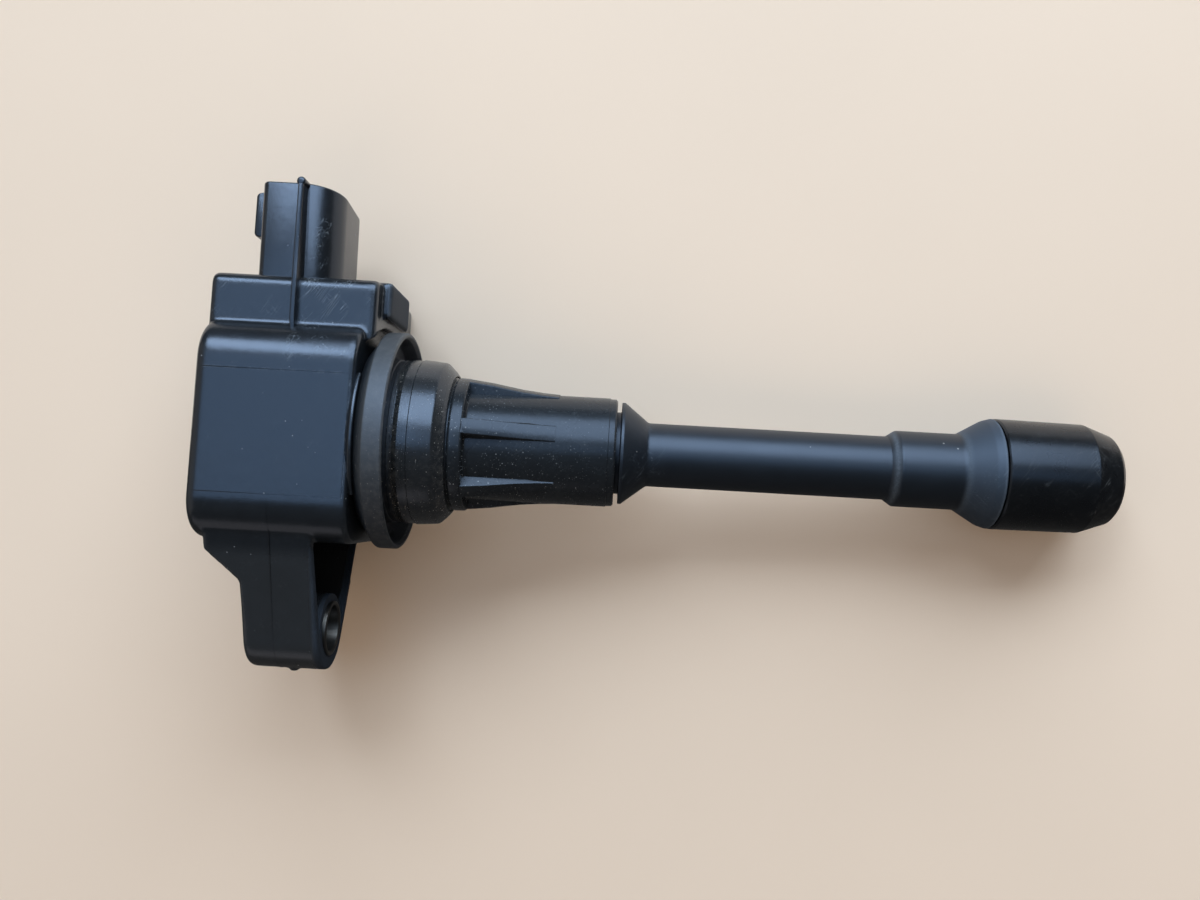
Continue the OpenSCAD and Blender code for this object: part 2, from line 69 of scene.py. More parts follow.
back = Vector((math.sin(BOOT_RISE), -math.sin(CONNECTOR_DROP), 1)).normalized()
right = Vector((math.cos(AXIS_TURN), math.sin(AXIS_TURN), 0))
right = (right - back * right.dot(back)).normalized()
up = back.cross(right)
bpy.ops.object.camera_add()
camera = bpy.context.object
camera.matrix_world = Matrix.Translation(AIM + back * DISTANCE) @ Matrix(
    (right, up, back)).transposed().to_4x4()
camera.data.sensor_width = SENSOR_MM
camera.data.lens = FOCAL_PIXELS / PICTURE_WIDTH * SENSOR_MM
camera.data.clip_start = 0.01
bpy.context.scene.camera = camera
print("lens in mm:", round(camera.data.lens, 2))

# %% [markdown]
# ## Helpers for modelling
# Every piece starts as a primitive and is shaped in edit mode, as by hand. These helpers keep that
# short: they clear the selection, pick edges or faces by their place, draw a line by pulling one
# vertex along, and apply a modifier. All sizes are given in millimetres.

# %% Selection helpers
FLAT = math.radians(20)


def clear():
    if bpy.context.object and bpy.context.object.mode != "OBJECT":
        bpy.ops.object.mode_set(mode="OBJECT")
    bpy.ops.object.select_all(action="DESELECT")


def take(piece, mode="OBJECT"):
    clear()
    piece.select_set(True)
    bpy.context.view_layer.objects.active = piece
    bpy.ops.object.mode_set(mode=mode)


def pick(piece, kind, wanted):
    """Selects in edit mode what passes wanted(middle in mm, direction), but no edge that lies in a
    flat place."""
    bpy.ops.mesh.select_mode(type=kind)
    bpy.ops.mesh.select_all(action="DESELECT")
    shape = bmesh.from_edit_mesh(piece.data)
    for part in {"EDGE": shape.edges, "FACE": shape.faces}[kind]:
        if kind == "EDGE":
            if part.calc_face_angle(0) < FLAT:
                continue
            a, b = (v.co for v in part.verts)
            middle, direction = (a + b) / 2, (b - a).normalized()
        else:
            middle, direction = part.calc_center_median(), part.normal
        if wanted(middle / MM, direction):
            part.select_set(True)
    bmesh.update_edit_mesh(piece.data)


def bevel(piece, radius, segments, wanted):
    """Rounds the edges that pass wanted."""
    take(piece, "EDIT")
    pick(piece, "EDGE", wanted)
    bpy.ops.mesh.bevel(offset=radius * MM, segments=segments, affect="EDGES", clamp_overlap=False)
    bpy.ops.object.mode_set(mode="OBJECT")


# %% Starting shapes
ROD_SIDES = 128


def placed(name):
    """Names the active piece and makes its place, turn and scale part of its mesh."""
    piece = bpy.context.object
    piece.name = name
    bpy.ops.object.transform_apply(location=True, rotation=True, scale=True)
    return piece


def turn_piece(piece, axis, degrees):
    """Turns a piece about one axis of the frame: 0 for X, 1 for Y, 2 for Z."""
    take(piece)
    piece.rotation_euler[axis] = math.radians(degrees)
    placed(piece.name)


def block(name, low, high):
    """A box between two corners."""
    clear()
    low, high = Vector(low) * MM, Vector(high) * MM
    bpy.ops.mesh.primitive_cube_add(size=1, location=(low + high) / 2, scale=high - low)
    return placed(name)


def rod(name, x0, x1, radius, y=0):
    """A round bar along the plug axis, or beside it at y."""
    clear()
    bpy.ops.mesh.primitive_cylinder_add(
        vertices=ROD_SIDES, radius=radius * MM, depth=(x1 - x0) * MM,
        location=((x0 + x1) / 2 * MM, y * MM, 0), rotation=(0, math.pi / 2, 0))
    return placed(name)


def pen_line(name, points, closed=True):
    """A line drawn by extruding one vertex from point to point."""
    points = [Vector(p) * MM for p in points]
    clear()
    bpy.ops.mesh.primitive_plane_add(size=MM, location=points[0])
    piece = placed(name)
    bpy.ops.object.mode_set(mode="EDIT")
    bpy.ops.mesh.select_mode(type="VERT")
    bpy.ops.mesh.select_all(action="SELECT")
    bpy.ops.mesh.merge(type="CENTER")
    for a, b in zip(points, points[1:] + points[:1] * closed):
        bpy.ops.mesh.extrude_region_move(TRANSFORM_OT_translate={"value": b - a})
    bpy.ops.mesh.select_all(action="SELECT")
    bpy.ops.mesh.remove_doubles(threshold=1e-7)
    bpy.ops.mesh.select_all(action="SELECT")
    return piece


def tidy_mesh():
    """Merges doubles and turns the faces outwards, in edit mode."""
    bpy.ops.mesh.select_all(action="SELECT")
    bpy.ops.mesh.remove_doubles(threshold=1e-7)
    bpy.ops.mesh.normals_make_consistent(inside=False)
    bpy.ops.object.mode_set(mode="OBJECT")


def pulled(name, points, pull):
    """A closed outline, filled and extruded along pull."""
    piece = pen_line(name, points)
    bpy.ops.mesh.edge_face_add()
    bpy.ops.mesh.extrude_region_move(TRANSFORM_OT_translate={"value": Vector(pull) * MM})
    tidy_mesh()
    return piece


# %% Modifiers that are applied at once
def modify(piece, kind, **settings):
    take(piece)
    modifier = piece.modifiers.new(kind.lower(), kind)
    for name, value in settings.items():
        setattr(modifier, name, value)
    bpy.ops.object.modifier_apply(modifier=modifier.name)


def combine(piece, operation, *others):
    """Adds or cuts with other pieces, which are used up."""
    for other in others:
        modify(piece, "BOOLEAN", operation=operation, object=other, solver="EXACT")
        bpy.data.objects.remove(other)


def smooth(piece, angle=35):
    """Shades the piece smooth, but keeps edges sharper than angle degrees."""
    take(piece)
    bpy.ops.object.shade_smooth_by_angle(angle=math.radians(angle))


# %% [markdown]
# ## Turned pieces
# Seal, tower, stem, bell, boot and bush are all round, so each is drawn as half a section and spun.
# A lathe-like Screw modifier would do as well, but the spin operator leaves a plain mesh at once.
# The section's corners are softened first: a third number at a point is the radius there.

# %% Spin a section
ARC_STEPS = 6


def softened(outline):
    """The outline's points, with an arc in place of each corner that has a radius."""
    made = []
    for i, corner in enumerate(outline):
        here = Vector(corner[:2])
        if len(corner) < 3:
            made.append(here)
            continue
        before = (Vector(outline[i - 1][:2]) - here).normalized()
        after = (Vector(outline[(i + 1) % len(outline)][:2]) - here).normalized()
        half = before.angle(after) / 2
        reach = corner[2] / math.tan(half)
        centre = here + (before + after).normalized() * corner[2] / math.sin(half)
        start, end = here + before * reach - centre, here + after * reach - centre
        sweep = start.angle_signed(end)
        for k in range(ARC_STEPS + 1):
            by = -sweep * k / ARC_STEPS
            made.append(centre + Vector((
                start.x * math.cos(by) - start.y * math.sin(by),
                start.x * math.sin(by) + start.y * math.cos(by))))
    return made


def turned(name, outline, steps=144, y=0):
    """A section of (x, radius) points, spun about the plug axis or an axis beside it at y."""
    piece = pen_line(name, [(p.x, y, p.y) for p in softened(outline)])
    bpy.ops.mesh.spin(steps=steps, angle=2 * math.pi, center=(0, y * MM, 0), axis=(1, 0, 0))
    tidy_mesh()
    smooth(piece)
    print(name, len(piece.data.polygons), "faces")
    return piece


# %% [markdown]
# ## Seal
# The rubber seal has a wide flange that lies on the engine's cover, a hollow behind its lip, a
# sleeve with a bead that fits the well, and a sloped end. A fine step on the bead is left by the mould.

# %% Seal
seal = turned("seal_rubber_sleeve", [
    (-10.9, 12.6, 0.2), (-10.9, 16.8, 0.6), (-9.1, 19.0, 0.5), (-8.5, 20.1, 0.5),
    (-5.3, 20.1, 0.25), (-5.0, 19.8, 0.1), (-5.0, 19.4, 0.1), (-5.6, 19.0, 0.3),
    (-8.2, 18.5, 0.4), (-8.4, 15.6, 0.4), (-6.2, 15.15, 0.05), (-6.1, 14.95, 0.05),
    (-5.4, 14.95, 0.05), (-5.3, 15.1, 0.05), (-4.4, 15.05, 0.4), (-3.6, 15.25, 0.3),
    (-1.95, 15.2, 0.05), (-1.8, 15.32, 0.05), (0.0, 15.2), (2.3, 15.0, 1.0), (3.8, 13.5, 0.7),
    (4.25, 12.9, 0.2), (4.25, 12.6, 0.1),
])

# %% [markdown]
# ## Tower
# The tower is part of the black moulding. Its section has the neck under the seal, a narrow groove, a
# stop ring and a fine step near the end. Six ribs stiffen it. One is drawn from the side, pulled to
# its thickness and widened at its foot, because a mould only lets go of sloping sides. Copies of it
# are turned round the axis and joined on.

# %% Tower and its ribs
tower = turned("tower_moulding", [
    (-11.1, 1.5), (-11.1, 12.4), (4.2, 12.4, 0.1), (4.3, 11.9, 0.1), (4.6, 11.9, 0.1),
    (4.75, 12.4, 0.5), (7.1, 12.3, 0.5), (7.2, 10.15, 0.5), (32.9, 10.1), (33.0, 9.97),
    (34.0, 9.95, 0.25), (34.3, 9.6, 0.1),
    (34.3, 7.95), (34.1, 7.75), (10.9, 7.75), (10.9, 5.0), (-1.1, 5.0), (-1.1, 1.5),
])
RIB_COUNT, RIB_FIRST, RIB_HALF = 6, 13, 1.4
FOOT_Z, FOOT_WIDER = 9.2, 1.32
RIB_SIDE = [(5.6, FOOT_Z), (5.6, 12.25), (7.5, 12.15), (11.3, 11.7), (14.0, 11.22), (16.8, 10.77),
            (20.5, 10.38), (23.5, 10.2), (23.6, FOOT_Z)]
rib = pulled("rib", [(x, -RIB_HALF, z) for x, z in RIB_SIDE], (0, 2 * RIB_HALF, 0))
take(rib, "EDIT")
pick(rib, "FACE", lambda m, n: n.z < -0.9)
bpy.ops.transform.resize(value=(1, FOOT_WIDER, 1), center_override=(0, 0, 0))
bevel(rib, 0.15, 2, lambda m, d: m.z > 10 and abs(d.y) < 0.5)
for i in range(RIB_COUNT):
    take(rib)
    bpy.ops.object.duplicate()
    rib_copy = bpy.context.object
    turn_piece(rib_copy, 0, -(RIB_FIRST + i * 360 / RIB_COUNT))
    combine(tower, "UNION", rib_copy)
bpy.data.objects.remove(rib)
smooth(tower, 30)
print("tower with ribs", len(tower.data.polygons), "faces")

# %% [markdown]
# ## Stem, bell and boot
# A slim plastic stem pushes into the tower, widens to a bell, and carries the rubber boot. All
# three are spun. The O-ring sits in the stem's groove and shows only when the stem is pulled. Its
# round section has the fine raised line that a mould leaves on two sides.

# %% Stem, bell, boot and O-ring
stem = turned("stem_shaft", [
    (12.9, 4.0), (12.9, 7.0, 0.2), (13.7, 7.6, 0.2), (25.8, 7.6, 0.1), (25.8, 5.85, 0.1),
    (28.0, 5.85, 0.1), (28.0, 7.6, 0.1), (35.1, 7.6, 0.15), (35.1, 9.45, 0.2),
    (35.7, 9.45, 0.2), (40.2, 5.9, 1.2), (84.3, 5.9), (84.3, 5.5), (87.3, 5.5), (87.3, 4.0),
])
bell = turned("stem_bell_sleeve", [
    (84.3, 5.5), (84.3, 5.9), (86.0, 7.05, 0.8), (97.3, 7.05, 2.0), (101.9, 9.75, 2.2),
    (103.4, 10.2, 0.15), (103.6, 10.0, 0.1), (103.6, 7.2, 0.1), (113.2, 7.2, 0.2),
    (113.8, 6.6, 0.1), (113.8, 5.5),
])
boot = turned("boot_rubber_end", [
    (103.85, 7.4), (103.85, 10.0, 0.1), (104.2, 10.25, 0.2), (119.8, 10.05, 0.9),
    (124.6, 8.3, 0.9), (125.4, 7.4, 0.5), (125.4, 6.2, 0.2), (124.6, 5.2, 0.2),
    (114.1, 5.2), (114.1, 7.4),
])
RING_X, RING_R, RING_WIRE, RING_LINE = 26.9, 6.8, 0.9, 0.05
o_ring = turned("o_ring", [
    (RING_X + (RING_WIRE + RING_LINE * (k % 8 == 2)) * math.cos(k * math.pi / 8),
     RING_R + RING_WIRE * math.sin(k * math.pi / 8)) for k in range(16)], steps=96)

# %% [markdown]
# ## Bush and contact spring
# The steel bush in the ear is a short tube with both ends chamfered. The contact spring is a wire
# circle pulled round the axis by the Screw modifier; its open ends are then filled. The closed turn
# at its tip is a second short screw with almost no climb.

# %% Bush
BOLT_Y = -35.4
bush = turned("bolt_bush", [
    (-30.3, 3.5, 0.1), (-30.8, 4.0, 0.1), (-30.8, 4.8, 0.1), (-30.6, 5.0, 0.1),
    (-16.3, 5.0, 0.1), (-16.15, 4.85, 0.1), (-16.15, 4.45, 0.1), (-16.4, 4.2, 0.1), (-19.0, 3.9),
    (-21.0, 3.5, 0.1),
], steps=96, y=BOLT_Y)


# %% Contact spring
SPRING_R, WIRE_R, WIRE_SIDES = 2.85, 0.45, 10


def coil(name, x0, climb, turns, steps):
    """A wire wound about the plug axis from x0, climbing by climb at each turn."""
    clear()
    bpy.ops.mesh.primitive_circle_add(
        vertices=WIRE_SIDES, radius=WIRE_R * MM, location=(x0 * MM, SPRING_R * MM, 0))
    piece = placed(name)
    modify(piece, "SCREW", axis="X", screw_offset=climb * MM, angle=2 * math.pi,
           iterations=turns, steps=steps, render_steps=steps, use_merge_vertices=True,
           merge_threshold=1e-7)
    take(piece, "EDIT")
    bpy.ops.mesh.select_mode(type="EDGE")
    bpy.ops.mesh.select_all(action="DESELECT")
    bpy.ops.mesh.select_non_manifold()
    bpy.ops.mesh.fill_holes(sides=0)
    tidy_mesh()
    smooth(piece, 60)
    return piece


SPRING_FROM, SPRING_TO, SPRING_TURNS = 1.05, 88.45, 26
spring = coil("contact_spring_wire", SPRING_FROM, (SPRING_TO - SPRING_FROM) / SPRING_TURNS,
              SPRING_TURNS, 24)
tip = coil("contact_spring_end", 90.0, 0.95, 1, 48)
print("spring", len(spring.data.polygons), "faces; its end", len(tip.data.polygons))

# %% [markdown]
# ## Case
# The head is one moulding: a block with broad front edges, a lower stage for the igniter, a lug, a
# round collar, and the bolt ear with its pocket. Each is made on its own, and the ear's right face is
# cut off at a slant. A voxel remesh and a little smoothing melt the joined pieces' seams into the soft
# fillets of a moulded part. The hollow back, the pocket, the bush's hole and the fine frame line on
# the front are cut after that, and the collar is joined on last, so that they all stay crisp.

# %% Head block, stage and lug
HEAD_LOW, HEAD_HIGH, HEAD_ROUND = (-39.2, -19.5, -18.8), (-11.1, 19.5, 16.5), 7.5
case = block("case_moulding", HEAD_LOW, HEAD_HIGH)
bevel(case, HEAD_ROUND, 24, lambda m, d: abs(d.x) > 0.9 and m.z > 0)
bevel(case, 2.0, 5, lambda m, d: abs(d.x) > 0.9 and m.z < -18)
bevel(case, 1.8, 6, lambda m, d: m.x < -39.19)
bevel(case, 0.8, 4, lambda m, d: m.x > -11.11)

stage = block("stage", (-39.15, 15.8, -18.8), (-9.3, 27.9, 12.0))
bevel(stage, 2.0, 8, lambda m, d: abs(d.x) > 0.9 and m.z > 11.9 and m.y > 27)
bevel(stage, 0.9, 4, lambda m, d: m.x < -39.1 or m.x > -9.35)
lug = block("lug", (-11.2, 21.7, -8.0), (-7.6, 28.2, 8.0))
bevel(lug, 0.5, 4, lambda m, d: m.x > -7.7 or m.z > 7.9)
collar = turned("collar", [
    (-13.2, 2.0), (-12.3, 16.2), (-11.1, 18.3, 0.3), (-10.5, 18.35, 0.25), (-10.5, 17.6, 0.1),
    (-10.95, 17.4), (-10.95, 2.0)])
combine(collar, "DIFFERENCE", block("above", (-11.12, 10.6, -30), (-5, 30, 30)),
        block("below", (-11.12, -30, -30), (-5, -10.5, 30)))

# %% Bolt ear
EAR_X0, EAR_X1, EAR_END_R, GUSSET_X = -30.6, -15.0, 7.6, -36.6
EAR_FRONT, EAR_BACK, SIDE_INSET = (-17.5, 14.0), (-17.5, 17.3), 1.1
EAR_FACE_X, EAR_FACE_NORMAL = -17.85, (1, 0.0333, 0.0306)


def ear_outline(x, inset):
    """The ear seen along the bolt: a round end and two straight sides that touch it."""
    radius = EAR_END_R - inset
    front, back = ((y, z - SIDE_INSET * inset) for y, z in (EAR_FRONT, EAR_BACK))

    def touch(root):
        to_root = Vector((root[0] - BOLT_Y, root[1]))
        return math.atan2(to_root.y, to_root.x) + math.acos(radius / to_root.length)

    arc = np.linspace(touch(front), 2 * math.pi - touch(back), 41)
    return ([(x, *front)]
            + [(x, BOLT_Y + radius * math.cos(a), radius * math.sin(a)) for a in arc]
            + [(x, back[0], -back[1])])


ear = pulled("ear", ear_outline(GUSSET_X, 0), (EAR_X1 - GUSSET_X, 0, 0))
combine(ear, "DIFFERENCE",
        pulled("left", [
            (-45, -21.3, -30), (GUSSET_X, -21.3, -30), (EAR_X0, -26.6, -30), (EAR_X0, -60, -30),
            (-45, -60, -30)], (0, 0, 60)))
take(ear, "EDIT")
bpy.ops.mesh.select_all(action="SELECT")
bpy.ops.mesh.bisect(plane_co=(EAR_FACE_X * MM, 0, 0), plane_no=EAR_FACE_NORMAL, use_fill=True,
                    clear_outer=True)
tidy_mesh()
print("ear's right end at", round(max(v.co.x for v in ear.data.vertices) / MM, 2))
bevel(ear, 1.2, 5, lambda m, d: abs(m.x - EAR_X0) < 0.01 and m.y < -27)
pocket = pulled("pocket", ear_outline(EAR_X0 + 2.6, 1.3), (20, 0, 0))
combine(pocket, "DIFFERENCE", rod("boss", -40, 0, 6.3, BOLT_Y),
        block("stop", (-40, -19.2, -30), (0, 0, 30)))

nub = block("nub", (-23.4, -43.6, -0.8), (-22.2, -42.6, 0.8))

# %% Join, soften and hollow the case
VOXEL, SMOOTH_ROUNDS = 0.36, 10
combine(case, "UNION", stage, lug, ear, nub)
combine(case, "DIFFERENCE", rod("flange_room", HEAD_HIGH[0], -5.0, 20.6))
modify(case, "REMESH", mode="VOXEL", voxel_size=VOXEL * MM)
modify(case, "SMOOTH", factor=0.5, iterations=SMOOTH_ROUNDS)
hollow = block("hollow", (-37.4, -17.6, -21.0), (-13.0, 17.6, 14.6))
bevel(hollow, 5.6, 12, lambda m, d: abs(d.x) > 0.9 and m.z > 0)
combine(hollow, "UNION", block("stage_hollow", (-36.9, 16.6, -21.0), (-13.0, 26.3, 10.4)))
frame_line = block("frame_line", (-45, -11.3, 16.36), (-11.9, 10.3, 16.56))
combine(frame_line, "DIFFERENCE", block("inside", (-44, -11.16, 16), (-12.04, 10.16, 17)))
combine(case, "DIFFERENCE", hollow, pocket, rod("bush_hole", -40, 0, 5.0, BOLT_Y), frame_line)
combine(case, "UNION", collar)
combine(case, "DIFFERENCE", rod("post_hole", -14, -10, 2.5))
smooth(case, 40)
print("case", len(case.data.polygons), "faces")


# %% [markdown]
# Moulded edges wear first. To let the finish know where an edge is, each vertex gets a number that
# says how far its neighbours drop below it, spread a little over the surface.

# %% Mark worn edges
def mark_edges(piece, spread):
    """Stores each vertex's drop, evened out with its neighbours as often as spread says."""
    mesh = piece.data
    count = len(mesh.vertices)
    places, normals = (np.empty(count * 3, np.float32) for _ in range(2))
    mesh.vertices.foreach_get("co", places)
    mesh.vertices.foreach_get("normal", normals)
    places, normals = places.reshape(-1, 3), normals.reshape(-1, 3)
    ends = np.empty(len(mesh.edges) * 2, np.int32)
    mesh.edges.foreach_get("vertices", ends)
    a, b = ends.reshape(-1, 2).T
    along = places[b] - places[a]
    along /= np.maximum(np.linalg.norm(along, axis=1, keepdims=True), 1e-9)
    links = np.maximum(np.bincount(a, minlength=count) + np.bincount(b, minlength=count), 1)
    drop = (np.bincount(a, -(normals[a] * along).sum(1), count)
            + np.bincount(b, (normals[b] * along).sum(1), count)) / links
    for _ in range(spread):
        beside = (np.bincount(a, drop[b], count) + np.bincount(b, drop[a], count)) / links
        drop = (drop + beside) / 2
    mesh.attributes.new("edge_wear", "FLOAT", "POINT").data.foreach_set(
        "value", drop.astype(np.float32))
    print(piece.name, "edge wear from", round(drop.min(), 3), "to", round(drop.max(), 3))


mark_edges(case, 3)

# %% [markdown]
# ## Connector
# The connector is a box with two tight and two broad corners. Its mouth is an inset face pushed in,
# so the wall keeps one thickness, and it leans back a little. A lock ramp is added, and a thin rib
# that runs a little askew up to a small knob.

# %% Connector
MOUTH_LEAN = math.radians(6.0)
MOUTH_Y, FRONT_Z, WALL, MOUTH_DEPTH = 45.3, 9.5, 1.5, 14.2
connector = block("connector_moulding", (-31.9, 27.4, -9.8), (-18.1, MOUTH_Y, FRONT_Z))
bevel(connector, 1.2, 5, lambda m, d: abs(d.y) > 0.9 and m.x < -30)
bevel(connector, 7.0, 20, lambda m, d: abs(d.y) > 0.9 and m.x > -20 and m.z > 0)
bevel(connector, 4.0, 12, lambda m, d: abs(d.y) > 0.9 and m.x > -20 and m.z < -9)
take(connector, "EDIT")
pick(connector, "FACE", lambda m, n: n.y > 0.9)
bpy.ops.transform.translate(value=(-0.2 * MM, 0, 0))
bpy.ops.transform.rotate(value=MOUTH_LEAN, orient_axis="X",
                         center_override=(0, MOUTH_Y * MM, FRONT_Z * MM))
bpy.ops.mesh.inset(thickness=WALL * MM)
bpy.ops.mesh.extrude_region_move(TRANSFORM_OT_translate={"value": (0, -MOUTH_DEPTH * MM, 0)})
bpy.ops.object.mode_set(mode="OBJECT")
back_edge = min(v.co.y for v in connector.data.vertices if v.co.y > 40 * MM)
print("mouth's front edge at y", MOUTH_Y, "and its back edge at y", round(back_edge / MM, 2))
bevel(connector, 0.5, 4, lambda m, d: m.y > 42.9 and abs(d.y) < 0.5)
catch = block("catch", (-34.5, 35.9, -5.5), (-30.6, 44.2, 5.5))
bevel(catch, 0.8, 4, lambda m, d: abs(d.z) > 0.9 and m.x < -32)
bevel(catch, 0.3, 3, lambda m, d: m.x < -32.5)

# %% Long rib and its knob
LONG_RIB_X, LONG_RIB_WIDTH, LONG_RIB_TURN = -23.75, 0.95, 1.3
long_rib = pulled("long_rib", [(LONG_RIB_X, y, z) for y, z in (
    (45.7, 8.6), (45.7, 12.2), (28.6, 13.2), (20.6, 13.5), (18.3, 13.1), (18.3, 8.6))],
    (LONG_RIB_WIDTH, 0, 0))
bevel(long_rib, 0.2, 3, lambda m, d: m.z > 11.9 and abs(d.x) < 0.5)
clear()
bpy.ops.mesh.primitive_cylinder_add(vertices=48, radius=0.8 * MM, depth=3.6 * MM,
                                    location=(-23.28 * MM, MOUTH_Y * MM, 10.5 * MM))
knob = placed("knob")
bevel(knob, 0.45, 5, lambda m, d: m.z > 12.2)
for piece in (long_rib, knob):
    turn_piece(piece, 2, LONG_RIB_TURN)
combine(long_rib, "UNION", knob)
combine(connector, "UNION", catch, long_rib)
smooth(connector, 30)
print("connector", len(connector.data.polygons), "faces")

# %% [markdown]
# ## Parting line
# Where the halves of the mould met, a fine line runs over the rounded edge and down the ear. It is a
# thin strip on the surface, so it is a piece of its own.

# %% Parting line
PARTING_X, PARTING_WIDTH, PARTING_THICK = -24.9, 0.16, 0.1
ARC_Y, ARC_Z = HEAD_LOW[1] + HEAD_ROUND, HEAD_HIGH[2] - HEAD_ROUND
head_arc = [(PARTING_X, ARC_Y - HEAD_ROUND * math.sin(a), ARC_Z + HEAD_ROUND * math.cos(a))
            for a in np.linspace(0, 0.8, 12)]
# The line ends part of the way round the ear's end, so only the outline's first points are taken.
ear_line = ear_outline(PARTING_X, 0)[1:28]
parting = pen_line("parting_line", head_arc + ear_line, closed=False)
bpy.ops.mesh.extrude_region_move(TRANSFORM_OT_translate={"value": (PARTING_WIDTH * MM, 0, 0)})
bpy.ops.object.mode_set(mode="OBJECT")
modify(parting, "SOLIDIFY", thickness=PARTING_THICK * MM, offset=0)
take(parting, "EDIT")
tidy_mesh()
smooth(parting)
print("parting line", len(parting.data.polygons), "faces")

# %% [markdown]
# ## Finishes
# A finish is a node tree. Writing one node at a time is slow to read, so a small class wraps a
# socket and lets sums be written as Python. One method adds any other node. Each finish says how many
# nodes it took.

# %% Shader helpers
class Value:
    """A shader socket that can stand in a sum."""

    def __init__(self, paint, socket):
        self.paint, self.socket = paint, socket

    def maths(self, operation, first, second=0.0):
        return self.paint.add("ShaderNodeMath", {"operation": operation}, {0: first, 1: second})

    def __add__(self, other):
        return self.maths("ADD", self, other)

    def __sub__(self, other):
        return self.maths("SUBTRACT", self, other)

    def __rsub__(self, other):
        return self.maths("SUBTRACT", other, self)

    def __mul__(self, other):
        return self.maths("MULTIPLY", self, other)

    def size(self):
        return self.maths("ABSOLUTE", self)

    def ramp(self, low, high):
        """0 at low and below, 1 at high and above, smooth between; high may be the lower one."""
        return self.paint.add("ShaderNodeMapRange", {"interpolation_type": "SMOOTHSTEP"},
                              {0: self, 1: low, 2: high})

    def hump(self, low, high, soft):
        """1 between low and high, fading over soft on both sides."""
        return self.ramp(low - soft, low + soft) * self.ramp(high + soft, high - soft)


class Paint:
    """A material, with its place in millimetres and one method that adds a node."""

    def __init__(self, name, **fixed):
        self.material = bpy.data.materials.new(name)
        self.material.use_nodes = True
        self.tree = self.material.node_tree
        self.shader = self.tree.nodes["Principled BSDF"]
        for socket, value in fixed.items():
            self.shader.inputs[socket.replace("_", " ")].default_value = value
        place = self.add("ShaderNodeTexCoord", {}, {}, "Object")
        self.place = self.add("ShaderNodeVectorMath", {"operation": "SCALE"},
                              {0: place, "Scale": 1 / MM})
        self.x, self.y, self.z = (
            self.add("ShaderNodeSeparateXYZ", {}, {0: self.place}, axis) for axis in "XYZ")

    def feed(self, socket, value):
        if isinstance(value, Value):
            self.tree.links.new(value.socket, socket)
        else:
            socket.default_value = value

    def add(self, kind, settings, sockets, out=0):
        node = self.tree.nodes.new(kind)
        for name, value in settings.items():
            setattr(node, name, value)
        for key, value in sockets.items():
            self.feed(node.inputs[key], value)
        return Value(self, node.outputs[out])

    def cloud(self, size, detail, stretch=(1, 1, 1), turn=(0, 0, 0)):
        """Soft noise from 0 to 1 with features of about size mm, stretched along turned axes."""
        place = self.place
        if stretch != (1, 1, 1):
            place = self.add("ShaderNodeMapping", {"vector_type": "TEXTURE"},
                             {"Vector": place, "Rotation": turn, "Scale": stretch})
        return self.add("ShaderNodeTexNoise", {},
                        {"Vector": place, "Scale": 1 / size, "Detail": detail})

    def specks(self, spacing, radius, share):
        """Small dots: one in each cell of spacing mm, kept in a share of the cells."""
        sockets = {"Vector": self.place, "Scale": 1 / spacing}
        near = self.add("ShaderNodeTexVoronoi", {}, sockets)
        chance = self.add("ShaderNodeTexVoronoi", {}, sockets, "Color")
        grow = self.add("ShaderNodeSeparateColor", {}, {0: chance}).ramp(1 - share, 1)
        return (grow * (radius / spacing) - near).ramp(0, 0.06)

    def scratches(self, across, along, turn):
        """Thin lines about along mm long, turned about Z. A second cloud keeps some of them."""
        width = 0.03
        turn = (0, 0, math.radians(turn))
        lines = self.cloud(1, 0.0, (along, across, across), turn)
        kept = self.cloud(1, 0.0, (along * 0.6, across * 3, across * 3), turn).ramp(0.5, 0.6)
        return (lines - 0.5).size().ramp(width, width * 0.3) * kept

    def mix(self, share, first, second):
        return self.add("ShaderNodeMix", {"data_type": "RGBA"}, {0: share, 6: first, 7: second}, 2)

    def finish(self, colour, roughness=None, height=None, depth=0.02):
        """Links what varies. Height is a bump of depth mm."""
        self.feed(self.shader.inputs["Base Color"], colour)
        if roughness is not None:
            self.feed(self.shader.inputs["Roughness"], roughness)
        if height is not None:
            self.feed(self.shader.inputs["Normal"], self.add(
                "ShaderNodeBump", {}, {"Distance": depth * MM, "Height": height}))
        print(self.material.name, len(self.tree.nodes), "nodes")
        return self.material


def grey(level, blue=1.0):
    """A near-black or grey colour, a little towards blue where blue is over 1."""
    return (level / blue, level, level * blue, 1)


# %% [markdown]
# ### Black mouldings
# Case, connector and tower are the same black plastic, but they have aged differently, and the
# connector is painted a little darker, as painted shade. The case has pale scuffs on its edges and over
# the stage and two matt faces, and the tower holds dust beside its ribs. So one function mixes the
# plastic and each piece gives its own wear.

# %% Black plastic
SKY_TINT = (0.6, 0.74, 1.0, 1.0)
GLOSS = 0.8
SCUFFED, DUSTY = grey(0.24, 1.15), grey(0.3, 1.08)


